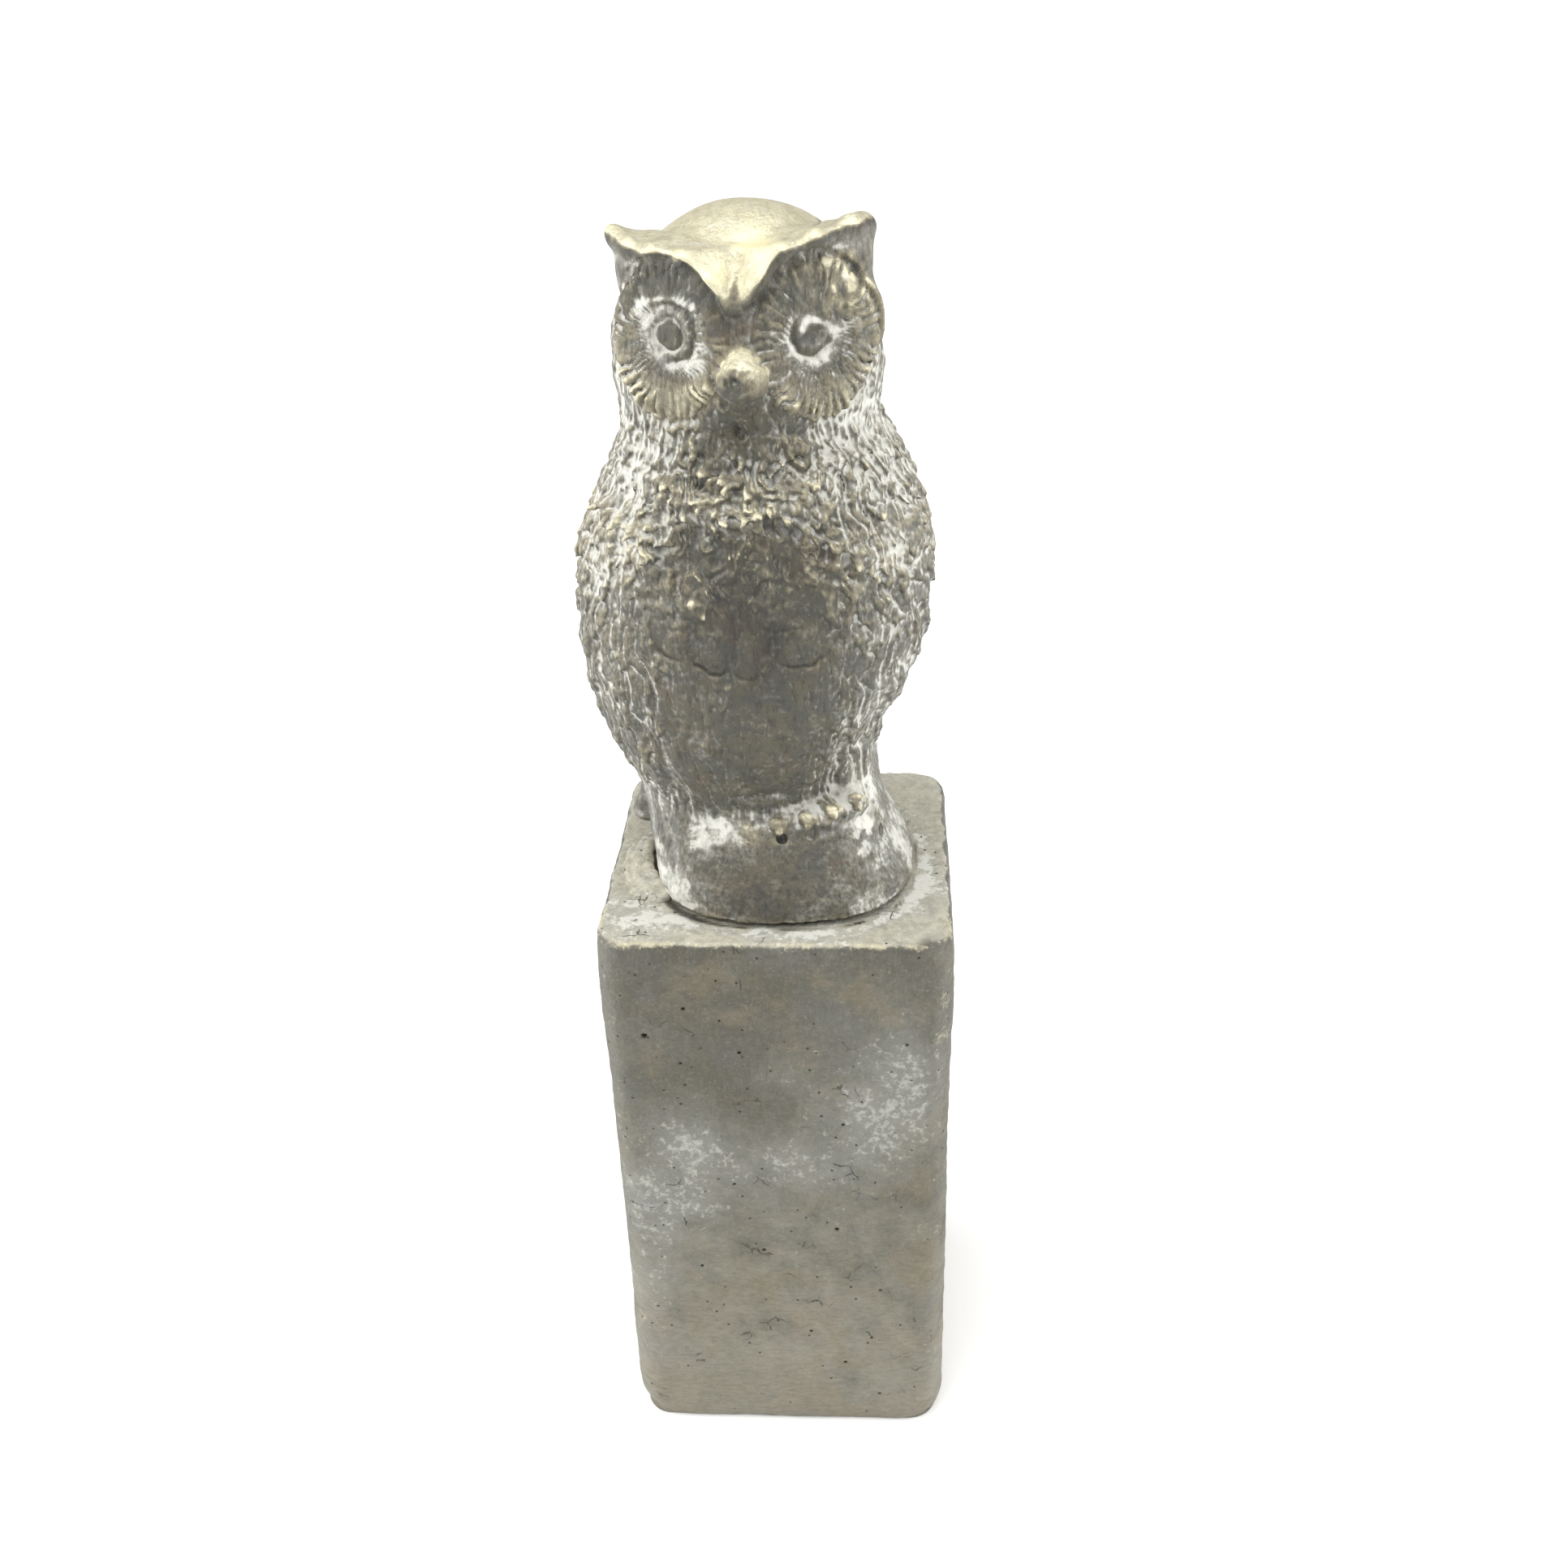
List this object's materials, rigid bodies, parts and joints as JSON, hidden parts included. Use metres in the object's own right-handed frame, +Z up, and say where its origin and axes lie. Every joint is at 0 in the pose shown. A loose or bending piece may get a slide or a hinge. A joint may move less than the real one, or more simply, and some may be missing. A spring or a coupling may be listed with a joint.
{
  "type": "owl figurine",
  "caption": "Cast owl with ear tufts on a round socle, bedded in mortar on a tall square plinth, dry-brushed gold over taupe with whitewash.",
  "frame": {"origin": "centre of the plinth's underside, on the surface that the figurine stands on", "axes": "+Z up through the plinth towards the owl's crown, -Y the way the owl looks, +X to the right of someone who faces it"},
  "size_m": [0.0781, 0.075, 0.285],
  "materials": {
    "owl_cement": "taupe cement with dry-brushed champagne gold on what stands out and whitewash in what lies deep",
    "plinth_cement": "brushed taupe paint over cast cement, gold on the edges, patches of whitewash, pinholes",
    "mortar": "rough bedding mortar, painted over and whitewashed"
  },
  "bodies": {
    "root": {"plinth": "plinth_cement", "mortar_bed": "mortar", "owl_figure": "owl_cement"}
  },
  "joints": []
}
